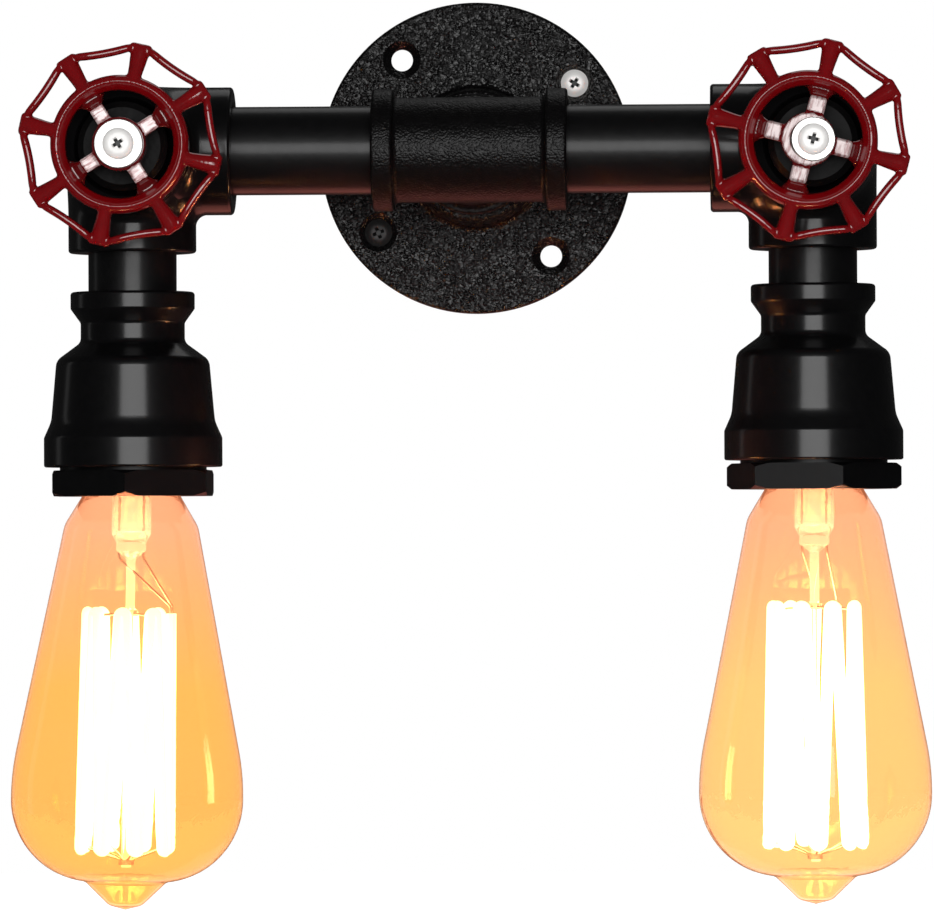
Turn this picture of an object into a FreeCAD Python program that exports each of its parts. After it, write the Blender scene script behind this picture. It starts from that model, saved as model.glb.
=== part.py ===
import FreeCAD, Part
import math
import os

# Pipe wall light: a wall flange, a tee and two swinging pipe arms, each with a handwheel and a bulb.
# Millimetres. The wall is the plane y = 0, the light stands out towards -Y, and +Z is up.
# The origin is the middle of the flange on the wall. The pipes' axis is level at z = 0.

# Running fits and seats
THREAD_GAP = 0.05          # radial, between a pipe or a thread and its socket
END_GAP = 0.2              # between a pipe's end and the floor of its socket
SCREW_GAP = 0.05           # radial, between a screw and its hole
SEAT_GAP = 0.05            # between two faces that are screwed together
LOOSE_GAP = 0.3            # round a piece that is laid into its place
FINE_EDGE = 0.4            # rounding or chamfer of a machined edge
OVERCUT = 1.0              # by which the shape of a hole passes the face it opens in
TOUCH = 1e-6               # points closer than this are one

# Pipe
PIPE_R = 12.3
PIPE_BORE_R = 9.9
PIPE_EDGE = 0.5            # chamfer at its ends
SOCKET_DEPTH = 11.0
CAVITY_R = 10.3            # inside of the fittings, past their sockets
MOUTH_R = 13.8             # chamfer at the mouth of a socket, at its widest
MOUTH_DEPTH = 1.4
FITTING_EDGE = 0.9         # rounding of a cast edge

# Wall flange, with heights measured from the wall
FLANGE_R = 44.2
FLANGE_T = 6.5
FLANGE_RIM = 3.2           # width of the ring that lies on the wall
RECESS_DEPTH = 2.5
HUB_BASE_R = 20.0
HUB_TOP_R = 18.5
HUB_TOP = 18.5
HUB_BLEND = 1.6
FLANGE_SOCKET_DEPTH = 9.0
WEB_T = 1.5
WEB_BORE_R = 10.0
POCKET_R = 16.0
HOLE_CIRCLE_R = 35.05
FIRST_HOLE_ANGLE = 37.0    # from the right, counterclockwise as seen from the front
OPEN_HOLE_R = 3.1
SINK_R = 5.4               # countersink at the flange's face
STRAP_SCREW_HOLE_R = 2.25
RECESS_EDGE = 0.5

# Strap behind the flange
STRAP_LENGTH = 78.0
STRAP_WIDTH = 18.0
STRAP_T = 2.0
STRAP_BORE_R = 6.0
STRAP_WALL_HOLE_R = 2.3
STRAP_WALL_HOLE_REACH = 25.0
EARTH_REACH = 11.5

# Machine screws
M4_R = 2.0
SUNK_HEAD_R = 3.9
SUNK_HEAD_DOME = 0.9
SUNK_HEAD_CROWN = 0.6      # rounding of the dome, in head radii
FLANGE_SCREW_TURNS = (20.0, -15.0)
PAN_HEAD_R = 4.25
PAN_HEAD_H = 2.3
PAN_HEAD_CROWN = 0.75      # rounding of a pan head, in head heights
EARTH_HEAD_R = 3.5
EARTH_HEAD_H = 2.2
EARTH_WASHER_R = 3.9
EARTH_WASHER_T = 0.8
WASHER_EDGE = 0.25
CROSS_R = 2.1              # half the span of a cross recess
CROSS_WIDTH = 1.0
CROSS_DEPTH = 1.7
CROSS_FLOOR = 0.35         # half the recess's span at its floor, in that at its top
CROSS_FLARE = 1.1          # and a little above its top

# Tee and nipple on the flange
NIPPLE_SHOW = 5.0
TEE_HALF = 27.15
TEE_BRANCH = 28.0
TEE_R = 14.6
TEE_BRANCH_BORE_R = 10.2
TEE_BAND_R = 17.0
TEE_BAND = 6.0
BAND_BLEND = 1.5
CORNER_BLEND = 3.2         # inner corner between two outlets of a fitting
CORNER_SINK = 0.03         # by which that corner's ring is thinner than the outlets it meets

# Elbows
ELBOW_R = 17.8
ELBOW_REACH = 28.3

# Front plug, handwheel and its screw, with stations measured forward from the plug's seat
PLUG_PROUD = 5.0
PLUG_FACE_R = 10.6
SHOULDER_R = 6.5
SHOULDER_H = 3.0
JOURNAL_R = 4.6
WHEEL_FIT = 0.05           # radial, handwheel on its journal
WHEEL_PLAY_BACK = 0.2
WHEEL_PLAY_FRONT = 0.1
TAPPED_DEPTH = 9.0
DRILL_POINT = 1.2
WHEEL_SCREW_LENGTH = 7.0
WHEEL_WASHER_T = 1.0

# Handwheel, with heights measured from the back of its hub
WHEEL_HUB_R = 7.4
WHEEL_HUB_H = 7.8
WHEEL_HUB_BACK_EDGE = 0.6
SPOKE_FACET = 7.2
SPOKE_FACET_R = 11.2
RING_IN_R = 14.2
VALLEY_R = 13.2            # where the inner spokes are lowest, just inside the ring
VALLEY_FRONT = 5.4
RIDGE_R = 17.3
RIDGE_FRONT = 7.4
RIDGE_HALF = 2.0
RIDGE_ROUND = 1.8
WHEEL_CREASE = 0.8         # rounding where two slopes of its front meet
RING_OUT_R = 20.0
RIM_FRONT = 6.5
RIM_BACK = 2.5
EARS = 8
EAR_TIP_R = 28.3
EAR_SHOULDER_R = 27.4
EAR_HALF_WIDTH = 3.1
EAR_CORNER = 0.6
SCALLOP_R = 26.0
RIM_BAR = 2.0
OPENING_HALF_IN = 4.9
OPENING_HALF_OUT = 6.5
OPENING_CORNER_R = 25.3
INNER_SPOKES = 4
SPOKE_HALF_HUB = 2.65
SPOKE_HALF_RING = 4.0
WHEEL_CORNER = 1.0
WHEEL_EDGE = 0.7
LEVEL = 0.01               # an edge is level if its ends differ in height by less

# Reducer, with its neck measured down from its top and its body up from its foot
REDUCER_LENGTH = 48.75
REDUCER_BAND_R = 17.3
REDUCER_BAND = 4.7
REDUCER_NECK_R = 14.5
REDUCER_NECK_TOP = 8.6
REDUCER_NECK_END = 14.0
REDUCER_NECK_ROUND = 2.5
BODY_TOP = 29.75
REDUCER_BODY_R = 21.3
REDUCER_BODY_ROUND = 3.5
REDUCER_BELLY_R = 22.8
REDUCER_BELLY_END = 12.75
REDUCER_BELLY_ROUND = 8.0
REDUCER_MOUTH_BAND_R = 24.85
REDUCER_MOUTH_BAND_TOP = 8.15
REDUCER_MOUTH_BAND_ROUND = 1.8
REDUCER_FOOT_EDGE = 0.6
THROAT_LENGTH = 4.0
THROAT_ROUND = 1.0
HOLDER_ROOM_R = 19.0
HOLDER_ROOM_GAP = 0.35     # over the lampholder
HOLDER_ROOM_ROUND = 3.0
BUSH_SOCKET_DEPTH = 12.75

# Hexagon bush, with heights measured up from its lower face
BUSH_THREAD_R = 20.45
BUSH_SHOW = 0.9            # thread seen between the reducer and the hexagon
BUSH_GRIP = 11.5           # thread inside the reducer
BUSH_THREAD_EDGE = 0.8
HEX_FLATS = 42.8
HEX_H = 7.2
HEX_CHAMFER_R = 22.9
HEX_BEVEL_RISE = 0.6       # height of the corners' bevel, in its width
LIP_BORE_R = 15.3
LIP_H = 3.0
LIP_EDGE = 1.0
HOLDER_SEAT_R = 17.15

# Lampholder
HOLDER_R = 17.0
HOLDER_H = 31.0
HOLDER_ROOF = 5.0
HOLDER_TOP_ROUND = 1.5
HOLDER_ROUND = 0.6
SHELL_R = 13.9             # middle of the brass shell's wave
SHELL_WAVE = 0.3
SHELL_WALL = 0.4
SHELL_FOOT = 3.5
SHELL_TOP_CLEAR = 1.0
SHELL_PLAIN = 1.2          # plain length before the first crest
WAVE_ROUND = 0.9
CONTACT_T = 0.5
CONTACT_WIDTH = 5.0
CONTACT_CLEAR = 0.1
CONTACT_ROOT = (6.5, 1.0)  # from where to where the tongue lies under the roof
CONTACT_TIP = (-1.5, -3.5)
CONTACT_SLANT = 0.2        # by which its lower face is off its upper one along the slope
CONTACT_TIP_T = 0.4
HOLDER_SCREW_REACH = 9.0
HOLDER_SCREW_R = 1.5
HOLDER_SCREW_LENGTH = 2.3
HOLDER_SCREW_HEAD_R = 2.6
HOLDER_SCREW_HEAD_H = 1.4
HOLDER_SCREW_ROUND = 0.5
HOLDER_SCREW_SLOT = 0.7    # its width and depth
HOLDER_WELL_R = 3.0
HOLDER_WELL_DEPTH = 1.2
HOLDER_TAPPED_DEPTH = 2.5

# Bulb, with heights measured down from the bush's lower face
THREAD_PITCH = 3.63
CAP_R = 12.45              # middle of the cap's wave
CAP_WAVE = 0.45
CAP_WALL = 0.35
CAP_TURNS = 4
CAP_TOP = -20.6
CAP_SHOULDER_R = 10.6
CAP_SHOULDER_DROP = 1.4
CAP_THREAD_DROP = 2.4
CAP_ROUND = 1.0
SKIRT_R = 13.9
SKIRT_END = -1.5
SKIRT_H = 1.2
SKIRT_FLARE = (1.2, 3.0)   # how far in and up the skirt starts
INSULATOR_TOP_R = 6.0
INSULATOR_GAP = 0.2
INSULATOR_ROUND = 0.6
CONTACT_TOP = -25.1
BUTTON_R = 4.7
BUTTON_T = 1.5
BUTTON_TOP_R = 3.6
BUTTON_ROUND = 1.2
GLASS_WALL = 0.7
GLASS_TOP = -8.5
GLASS_TOP_R = 11.3
NECK_R = 13.7
BULB_R = 32.3
BELLY_LENGTH = 30.05       # from the end of the cone to the end of the dome
DOME_ROUND = 0.712         # in bulb radii
DOME_END = 107.35
DOME_END_R = 11.4
TIP_R = 4.6
TIP_H = 6.55
TIP_CROWN = 1.2
GLASS_LINE = [             # radius, height and rounding of the envelope, from its top to its tip
    (GLASS_TOP_R, GLASS_TOP), (11.5, -5.5, 3.0), (NECK_R, 0.0, 6.0), (18.6, 8.2, 8.0),
    (BULB_R, DOME_END - BELLY_LENGTH, 68.0), (BULB_R, DOME_END - 3.15, BULB_R * DOME_ROUND),
    (DOME_END_R, DOME_END, 3.0), (TIP_R, DOME_END + TIP_H, 3.5), (0.0, DOME_END + TIP_H + TIP_CROWN),
]
STEM_R = 5.5
STEM_WALL = 0.8
STEM_FLARE = -2.0          # height at which the stem starts to widen
STEM_FLARE_ROUND = 6.0
STEM_FLANGE = 1.2          # width of its rim, where it is sealed to the neck
STEM_TUBE_END = 10.5
PRESS_R = 4.2
PRESS_TOP = 13.0
PRESS_END = 15.2
STEM_ROUND = 1.0
ROD_R = 1.3
ROD_TAPER = 2.3
ROD_PAST = 1.5             # rod past the lower star
LEAN_PIVOT = -21.0

# Filament and its supports
FILAMENT_R = 0.3
HAIRPIN_R = 0.9
HAIRPINS = 8
LEG_PAST = 1.5             # by which the first and last leg pass the cage's top
FILAMENT_TURN = 340.0      # degrees round the bulb from the first leg to the last
CAGE_TOP_R = 12.0
CAGE_BOTTOM_R = 13.2
CAGE_TOP = 35.0
CAGE_CLEAR = 8.15          # between the cage and the end of the dome
STAR_PAST_TOP = 2.5        # upper star above the cage
STAR_PAST_BOTTOM = 2.8     # lower star below it
SUPPORT_R = 0.25
COLLAR_R = 2.2
COLLAR_H = 1.6
SPOKE_SUNK = 0.8           # share of the collar's radius at which a spoke starts
SPOKE_PAST = 0.8           # spoke past the middle of its hairpin
LEAD_WIRE_R = 0.35
LEAD_WIRE_REACH = 3.4
LEAD_WIRE_DROP = 2.0       # straight length under the press
LEAD_WIRE_TAIL = 3.0       # length along the filament's leg
LEAD_WIRE_BEND = 3.0
LEAD_WIRE_END_BEND = 1.5

# Wiring
LEAD_R = 2.0
LEAD_REACH = 3.5           # of each lead in the tee's branch, from its middle
TEE_BEND = 12.0
ELBOW_BEND = 13.0
LEAD_END_DEPTH = 2.0
LEAD_HOLE_GAP = 0.2
BLOCK_WIDTH = 14.0
BLOCK_H = 9.0
BLOCK_LENGTH = 15.0
BLOCK_BACK = 10.0          # from the wall
BLOCK_SCREW_R = 1.6
BLOCK_SCREW_SPOTS = (0.25, 0.75)   # along the block
BLOCK_WELL_DEPTH = 3.0
BLOCK_SCREW_END = 2.9
BLOCK_SCREW_TOP = 0.4
BLOCK_SLOT = 0.6           # width and depth of a screw's slot

# What differs between the two arms: the pipe that shows between the fittings, how far the wheel stands
# beside its screw, and the turns that the threads came to
SIDES = {
    "left": dict(sign=-1, arm_show=38.85, drop_show=10.8, hex_turn=-30.7, wheel_turn=32.5, wheel_off=0.0,
                 washer_r=6.7, lean=1.15, filament_turn=10.0),
    "right": dict(sign=1, arm_show=39.65, drop_show=9.7, hex_turn=-11.5, wheel_turn=75.4, wheel_off=-1.4,
                  washer_r=6.0, lean=0.0, filament_turn=-62.0),
}

# Worked out from the sizes above
SOCKET_R = PIPE_R + THREAD_GAP
AXIS_OUT = HUB_TOP + NIPPLE_SHOW + TEE_BRANCH
ARM_PIPE_START = TEE_HALF - SOCKET_DEPTH + END_GAP
CAGE_BOTTOM = DOME_END - CAGE_CLEAR
UPPER_STAR = CAGE_TOP - STAR_PAST_TOP
LOWER_STAR = CAGE_BOTTOM + STAR_PAST_BOTTOM
HOLE_ANGLES = [FIRST_HOLE_ANGLE + 90.0 * turn for turn in range(4)]

V = FreeCAD.Vector
ORIGIN = V(0, 0, 0)
X = V(1, 0, 0)
Y = V(0, 1, 0)
Z = V(0, 0, 1)
FRONT = V(0, -1, 0)
DOWN = V(0, 0, -1)


def save(name, *solids):
    """Write one node, of one solid or several that lie apart."""
    shape = solids[0] if len(solids) == 1 else Part.makeCompound(list(solids))
    if not shape.isValid():
        raise ValueError("invalid shape: " + name)
    shape.exportStep("parts/" + name + ".step")


def bend(before, corner, after, radius):
    """The tangent arc in a corner of a path: its start, middle, end and centre."""
    back = (before - corner).normalize()
    ahead = (after - corner).normalize()
    half = back.getAngle(ahead) / 2
    inward = (back + ahead).normalize()
    centre = corner + inward * (radius / math.sin(half))
    reach = radius / math.tan(half)
    return corner + back * reach, centre - inward * radius, corner + ahead * reach, centre


def path(corners, radii, closed=False):
    """A wire of straight runs, joined by a tangent arc where the corner has a radius."""
    count = len(corners)
    arcs = []
    for index, (corner, radius) in enumerate(zip(corners, radii)):
        if radius > 0:
            arcs.append(bend(corners[index - 1], corner, corners[(index + 1) % count], radius)[:3])
        else:
            arcs.append((corner, corner, corner))
    edges = []
    for index, (start, middle, end) in enumerate(arcs):
        if radii[index] > 0:
            edges.append(Part.Arc(start, middle, end).toShape())
        if closed or index < count - 1:
            onward = arcs[(index + 1) % count][0]
            if end.distanceToPoint(onward) > TOUCH:
                edges.append(Part.LineSegment(end, onward).toShape())
    return Part.Wire(edges)


def turned(outline):
    """Spin an outline of (radius, height) or (radius, height, corner radius) about the Z axis."""
    corners = [V(point[0], 0, point[1]) for point in outline]
    radii = [point[2] if len(point) > 2 else 0.0 for point in outline]
    return Part.Face(path(corners, radii, closed=True)).revolve(ORIGIN, Z, 360)


def walled(outline, wall):
    """Close an open outline of a skin into a ring, with its inner line one wall further in."""
    inner = []
    last = len(outline) - 1
    for index, point in enumerate(outline):
        here = V(point[0], point[1], 0)
        before = V(*outline[max(index - 1, 0)][:2], 0)
        after = V(*outline[min(index + 1, last)][:2], 0)
        way_in = (here - before if index > 0 else after - here).normalize()
        way_out = (after - here if index < last else here - before).normalize()
        half_turn = way_in.getAngle(way_out) / 2
        normal = Z.cross(way_in + way_out).normalize()
        moved = here + normal * (wall / math.cos(half_turn))
        corner = point[2] if len(point) > 2 else 0.0
        outward_bend = way_in.cross(way_out).z < 0
        inner_corner = corner + wall if outward_bend else corner - wall
        inner.append((max(moved.x, 0.0), moved.y, max(inner_corner, 0.0) if corner else 0.0))
    return outline + inner[::-1]


def rod(radius, start, end):
    way = end - start
    return Part.makeCylinder(radius, way.Length, start, way)


def aimed(shape, base, way):
    """Move a piece drawn about +Z so that it stands on base and points along way."""
    turn = FreeCAD.Rotation(Z, way)
    return shape.transformed(FreeCAD.Placement(base, turn).toMatrix(), copy=True)


def spun(shape, degrees):
    """Turn a piece about the Z axis."""
    return shape.rotated(ORIGIN, Z, degrees)


def tube(wire, radius):
    """A round solid along a wire."""
    edge = wire.OrderedEdges[0]
    start = edge.valueAt(edge.FirstParameter)
    way = edge.tangentAt(edge.FirstParameter)
    if start.distanceToPoint(wire.OrderedVertexes[0].Point) > TOUCH:
        start = edge.valueAt(edge.LastParameter)
        way = edge.tangentAt(edge.LastParameter) * -1
    circle = Part.Wire(Part.Circle(start, way, radius).toShape())
    return wire.makePipeShell([circle], True, False)


def cross_recess(radius):
    """The cross cut into a screw's head, from its top downward at the origin."""
    depth = CROSS_DEPTH + OVERCUT
    floor = DOWN * CROSS_DEPTH
    bar = Part.makeBox(2 * radius, CROSS_WIDTH, depth, floor + V(-radius, -CROSS_WIDTH / 2, 0))
    point = Part.makeCone(CROSS_FLOOR * radius, CROSS_FLARE * radius, depth, floor)
    return bar.fuse(spun(bar, 90)).common(point)


def pan_screw(head_r, head_h, length):
    """A pan-head screw that stands on the origin with its head up."""
    body = turned([(0, -length), (M4_R - FINE_EDGE, -length), (M4_R, FINE_EDGE - length), (M4_R, 0),
                   (head_r, 0), (head_r, head_h, head_h * PAN_HEAD_CROWN), (0, head_h)])
    recess = cross_recess(CROSS_R).translated(V(0, 0, head_h))
    return body.cut(recess)


def washer(radius, thickness):
    return turned([(M4_R + SCREW_GAP, 0), (radius, 0), (radius, thickness, WASHER_EDGE),
                   (M4_R + SCREW_GAP, thickness)])


def socket(depth):
    """The space of a pipe socket whose mouth is at the origin, cut downward."""
    return turned([(0, -depth), (SOCKET_R, -depth), (SOCKET_R, -MOUTH_DEPTH), (MOUTH_R, 0),
                   (MOUTH_R, OVERCUT), (0, OVERCUT)])


def outlet_corner(radius, first, second):
    """A quarter ring that rounds the inner corner between two outlets of one radius."""
    sweep = radius + CORNER_BLEND
    start = first * sweep
    middle = (first + second) * sweep - (first + second).normalize() * sweep
    arc = Part.Wire(Part.Arc(start, middle, second * sweep).toShape())
    circle = Part.Wire(Part.Circle(start, first, radius - CORNER_SINK).toShape())
    return arc.makePipeShell([circle], True, False)


def wall_flange():
    web_front = HUB_TOP - FLANGE_SOCKET_DEPTH
    body = turned([
        (FLANGE_R - FLANGE_RIM, 0), (FLANGE_R, 0, FINE_EDGE), (FLANGE_R, FLANGE_T, FITTING_EDGE),
        (HUB_BASE_R, FLANGE_T, HUB_BLEND), (HUB_TOP_R, HUB_TOP, HUB_BLEND), (MOUTH_R, HUB_TOP),
        (SOCKET_R, HUB_TOP - MOUTH_DEPTH), (SOCKET_R, web_front), (WEB_BORE_R, web_front),
        (WEB_BORE_R, web_front - WEB_T), (POCKET_R, web_front - WEB_T),
        (POCKET_R, RECESS_DEPTH, RECESS_EDGE), (FLANGE_R - FLANGE_RIM, RECESS_DEPTH, RECESS_EDGE),
    ])
    for index, angle in enumerate(HOLE_ANGLES):
        radius = OPEN_HOLE_R if index % 2 else STRAP_SCREW_HOLE_R
        sink = SINK_R - radius
        hole = turned([(0, 0), (radius, 0), (radius, FLANGE_T - sink), (SINK_R, FLANGE_T),
                       (SINK_R, FLANGE_T + OVERCUT), (0, FLANGE_T + OVERCUT)])
        body = body.cut(spun(hole.translated(V(HOLE_CIRCLE_R, 0, 0)), angle))
    save("wall_flange", aimed(body, ORIGIN, FRONT))


def mounting_strap():
    half = STRAP_LENGTH / 2
    bar = Part.makeBox(STRAP_LENGTH, STRAP_WIDTH, STRAP_T, V(-half, -STRAP_WIDTH / 2, 0))
    bar = bar.common(Part.makeCylinder(half, STRAP_T))
    holes = [Part.makeCylinder(STRAP_BORE_R, STRAP_T),
             Part.makeCylinder(M4_R + SCREW_GAP, STRAP_T, V(EARTH_REACH, 0, 0))]
    for side in (-1, 1):
        holes.append(Part.makeCylinder(M4_R + SCREW_GAP, STRAP_T, V(side * HOLE_CIRCLE_R, 0, 0)))
        holes.append(Part.makeCylinder(STRAP_WALL_HOLE_R, STRAP_T, V(side * STRAP_WALL_HOLE_REACH, 0, 0)))
    save("mounting_strap", aimed(spun(bar.cut(holes), FIRST_HOLE_ANGLE), ORIGIN, FRONT))


def flange_screws():
    rim = FLANGE_T - (SINK_R - SUNK_HEAD_R) + SEAT_GAP * math.sqrt(2)
    cone = SUNK_HEAD_R - M4_R
    top = rim + SUNK_HEAD_DOME
    crown = SUNK_HEAD_R * SUNK_HEAD_CROWN
    screw = turned([(0, END_GAP), (M4_R - FINE_EDGE, END_GAP), (M4_R, END_GAP + FINE_EDGE),
                    (M4_R, rim - cone), (SUNK_HEAD_R, rim), (crown, top, crown), (0, top)])
    screw = screw.cut(cross_recess(CROSS_R).translated(Z * top))
    pair = []
    for angle, recess_turn in zip(HOLE_ANGLES[::2], FLANGE_SCREW_TURNS):
        placed = spun(spun(screw, recess_turn).translated(V(HOLE_CIRCLE_R, 0, 0)), angle)
        pair.append(aimed(placed, ORIGIN, FRONT))
    save("flange_screws", *pair)


def earth_screw():
    length = STRAP_T - END_GAP + SEAT_GAP + EARTH_WASHER_T
    screw = pan_screw(EARTH_HEAD_R, EARTH_HEAD_H, length)
    screw = screw.translated(V(EARTH_REACH, 0, STRAP_T + SEAT_GAP + EARTH_WASHER_T))
    ring = washer(EARTH_WASHER_R, EARTH_WASHER_T).translated(V(EARTH_REACH, 0, STRAP_T))
    save("earth_screw", aimed(spun(screw, FIRST_HOLE_ANGLE), ORIGIN, FRONT))
    save("earth_washer", aimed(spun(ring, FIRST_HOLE_ANGLE), ORIGIN, FRONT))


def pipe(start, end):
    """A length of pipe from one point to another, its ends broken by a small chamfer."""
    length = (end - start).Length
    body = turned([(PIPE_BORE_R, 0), (PIPE_R - PIPE_EDGE, 0), (PIPE_R, PIPE_EDGE),
                   (PIPE_R, length - PIPE_EDGE), (PIPE_R - PIPE_EDGE, length), (PIPE_BORE_R, length)])
    return aimed(body, start, end - start)


def flange_nipple():
    back = HUB_TOP - FLANGE_SOCKET_DEPTH + END_GAP
    front = AXIS_OUT - TEE_BRANCH + SOCKET_DEPTH - END_GAP
    save("flange_nipple", pipe(FRONT * back, FRONT * front))


def tee():
    band_root = TEE_HALF - TEE_BAND
    run = turned([(0, 0), (TEE_R, 0), (TEE_R, band_root, BAND_BLEND), (TEE_BAND_R, band_root, FITTING_EDGE),
                  (TEE_BAND_R, TEE_HALF, FITTING_EDGE), (0, TEE_HALF)])
    branch = turned([(0, 0), (TEE_R, 0), (TEE_R, TEE_BRANCH - TEE_BAND, BAND_BLEND),
                     (TEE_BAND_R, TEE_BRANCH - TEE_BAND, FITTING_EDGE),
                     (TEE_BAND_R, TEE_BRANCH, FITTING_EDGE), (0, TEE_BRANCH)])
    body = aimed(run, ORIGIN, X).fuse([aimed(run, ORIGIN, -X), aimed(branch, ORIGIN, Y)])
    body = body.fuse([outlet_corner(TEE_R, X, Y), outlet_corner(TEE_R, -X, Y)])
    space = rod(CAVITY_R, X * -TEE_HALF, X * TEE_HALF).fuse(rod(TEE_BRANCH_BORE_R, ORIGIN, Y * TEE_BRANCH))
    for way, reach in ((X, TEE_HALF), (-X, TEE_HALF), (Y, TEE_BRANCH)):
        space = space.fuse(aimed(socket(SOCKET_DEPTH), way * reach, way))
    save("tee", body.cut(space).translated(FRONT * AXIS_OUT))


def arm_pipe(side, sign, joint):
    start = V(sign * ARM_PIPE_START, -AXIS_OUT, 0)
    save(side + "_arm_pipe", pipe(start, joint - X * (sign * END_GAP)))


def elbow(side, sign, centre):
    inward = X * -sign
    ways = (inward, DOWN, FRONT)
    arm = turned([(0, 0), (ELBOW_R, 0), (ELBOW_R, ELBOW_REACH, FITTING_EDGE), (0, ELBOW_REACH)])
    body = Part.makeSphere(ELBOW_R)
    body = body.fuse([aimed(arm, ORIGIN, way) for way in ways])
    body = body.fuse([outlet_corner(ELBOW_R, ways[a], ways[b]) for a, b in ((0, 1), (0, 2), (1, 2))])
    space = Part.makeSphere(CAVITY_R)
    space = space.fuse([rod(CAVITY_R, ORIGIN, way * ELBOW_REACH) for way in ways])
    space = space.fuse([aimed(socket(SOCKET_DEPTH), way * ELBOW_REACH, way) for way in ways])
    save(side + "_elbow", body.cut(space).translated(centre))


def front_plug(side, seat, wheel_off):
    """The plug in the elbow's front outlet, with the journal that carries the handwheel."""
    shoulder = PLUG_PROUD + SHOULDER_H
    journal = shoulder + WHEEL_PLAY_BACK + WHEEL_HUB_H + WHEEL_PLAY_FRONT
    back = END_GAP - SOCKET_DEPTH
    tapped_end = journal - TAPPED_DEPTH
    plug = turned([
        (0, back), (PIPE_R - PIPE_EDGE, back), (PIPE_R, back + PIPE_EDGE),
        (PIPE_R, PLUG_PROUD - (PIPE_R - PLUG_FACE_R)), (PLUG_FACE_R, PLUG_PROUD), (0, PLUG_PROUD),
    ])
    spindle = turned([
        (0, 0), (SHOULDER_R, 0), (SHOULDER_R, shoulder, FINE_EDGE), (JOURNAL_R, shoulder),
        (JOURNAL_R, journal), (0, journal),
    ])
    tapped = turned([
        (0, tapped_end - DRILL_POINT), (M4_R + SCREW_GAP, tapped_end),
        (M4_R + SCREW_GAP, journal + OVERCUT), (0, journal + OVERCUT),
    ])
    body = plug.fuse(spindle.translated(X * wheel_off)).cut(tapped)
    save(side + "_front_plug", aimed(body, seat, FRONT))
    return journal


def polar(radius, degrees, height=0.0):
    angle = math.radians(degrees)
    return V(radius * math.cos(angle), radius * math.sin(angle), height)


def prism(edges, height, corner):
    """Raise a closed outline and round its upright corners."""
    solid = Part.Face(Part.Wire(edges)).extrude(Z * height)
    upright = [edge for edge in solid.Edges if abs(edge.tangentAt(edge.FirstParameter).z) > 0.99]
    return solid.makeFillet(corner, upright)


def wheel_outline(height):
    """The handwheel's edge: an ear in line with each spoke, and a shallow scallop between."""
    step = 360.0 / EARS
    shoulder = math.degrees(math.asin(EAR_HALF_WIDTH / EAR_SHOULDER_R))
    edges = []
    for ear in range(EARS):
        angle = ear * step
        edges.append(Part.Arc(polar(EAR_SHOULDER_R, angle - shoulder), polar(EAR_TIP_R, angle),
                              polar(EAR_SHOULDER_R, angle + shoulder)).toShape())
        edges.append(Part.Arc(polar(EAR_SHOULDER_R, angle + shoulder), polar(SCALLOP_R, angle + step / 2),
                              polar(EAR_SHOULDER_R, angle + step - shoulder)).toShape())
    return prism(edges, height, EAR_CORNER)


def rim_opening(height):
    """One opening between two outer spokes, about the +X direction."""
    inner = math.degrees(math.asin(OPENING_HALF_IN / RING_OUT_R))
    outer = math.degrees(math.asin(OPENING_HALF_OUT / OPENING_CORNER_R))
    corners = [polar(RING_OUT_R, -inner), polar(OPENING_CORNER_R, -outer),
               polar(OPENING_CORNER_R, outer), polar(RING_OUT_R, inner)]
    edges = [
        Part.LineSegment(corners[0], corners[1]).toShape(),
        Part.Arc(corners[1], polar(SCALLOP_R - RIM_BAR, 0), corners[2]).toShape(),
        Part.LineSegment(corners[2], corners[3]).toShape(),
        Part.Arc(corners[3], polar(RING_OUT_R, 0), corners[0]).toShape(),
    ]
    return prism(edges, height, WHEEL_CORNER)


def hub_opening(height):
    """One opening between two inner spokes, about the +X direction."""
    half_step = 180.0 / INNER_SPOKES
    at_hub = half_step - math.degrees(math.asin(SPOKE_HALF_HUB / WHEEL_HUB_R))
    at_ring = half_step - math.degrees(math.asin(SPOKE_HALF_RING / RING_IN_R))
    corners = [polar(WHEEL_HUB_R, -at_hub), polar(RING_IN_R, -at_ring),
               polar(RING_IN_R, at_ring), polar(WHEEL_HUB_R, at_hub)]
    edges = [
        Part.LineSegment(corners[0], corners[1]).toShape(),
        Part.Arc(corners[1], polar(RING_IN_R, 0), corners[2]).toShape(),
        Part.LineSegment(corners[2], corners[3]).toShape(),
        Part.Arc(corners[3], polar(WHEEL_HUB_R, 0), corners[0]).toShape(),
    ]
    return prism(edges, height, WHEEL_CORNER)


def rim_edges(wheel):
    """The edges of the wheel's front and back faces round its rim, ears and outer spokes."""
    chosen = []
    for edge in wheel.Edges:
        nearest = min(math.hypot(vertex.X, vertex.Y) for vertex in edge.Vertexes)
        heights = [vertex.Z for vertex in edge.Vertexes]
        level = max(heights) - min(heights) < LEVEL
        if nearest > RING_OUT_R - LEVEL and level:
            chosen.append(edge)
    return chosen


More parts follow.
